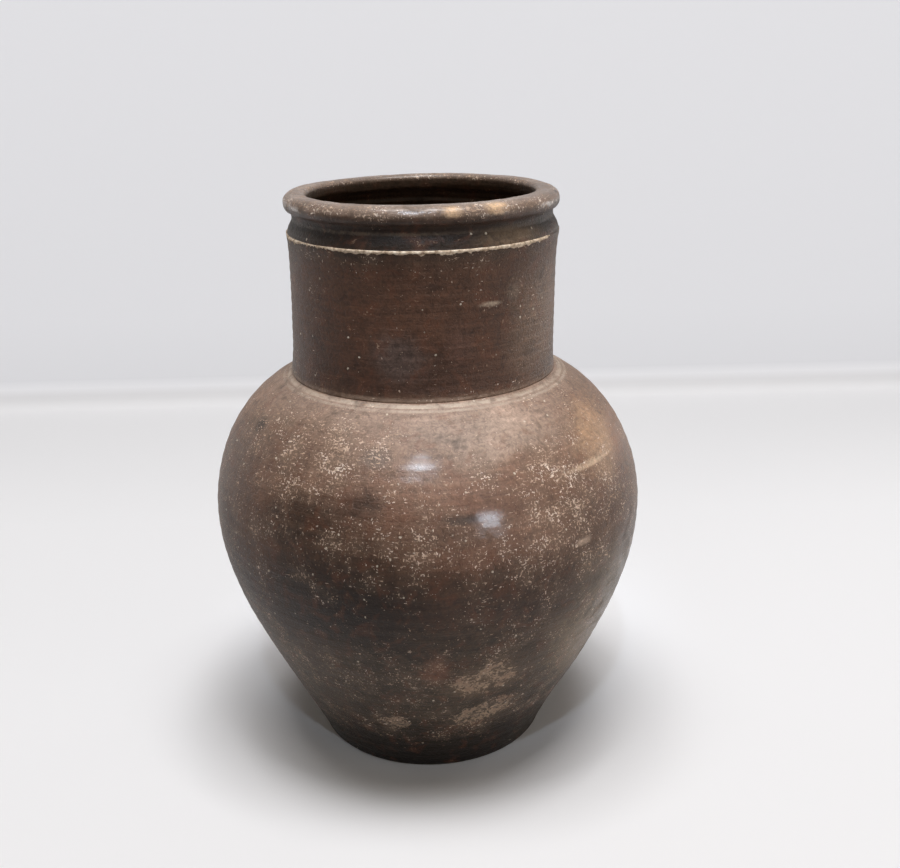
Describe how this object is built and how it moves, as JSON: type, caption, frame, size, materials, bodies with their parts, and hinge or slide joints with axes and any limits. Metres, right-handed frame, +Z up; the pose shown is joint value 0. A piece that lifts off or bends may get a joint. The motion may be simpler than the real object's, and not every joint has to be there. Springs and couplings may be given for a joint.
{
  "type": "stoneware storage jar",
  "caption": "Round-bellied stoneware storage jar with a tall straight neck, a ledge and cord groove under a rolled lip, and a narrow flat foot.",
  "frame": {"origin": "centre of the resting ring, on the surface that the jar stands on", "axes": "+Z up along the jar's own axis, -Y the side that faces the viewer in the picture, +X that viewer's right"},
  "size_m": [0.25, 0.25, 0.327],
  "materials": {
    "body_stoneware": "worn dry brown slip with a soft sheen",
    "neck_stoneware": "worn dry dark brown slip, satin on the lip"
  },
  "bodies": {
    "root": {"body": "body_stoneware", "neck": "neck_stoneware"}
  },
  "joints": []
}
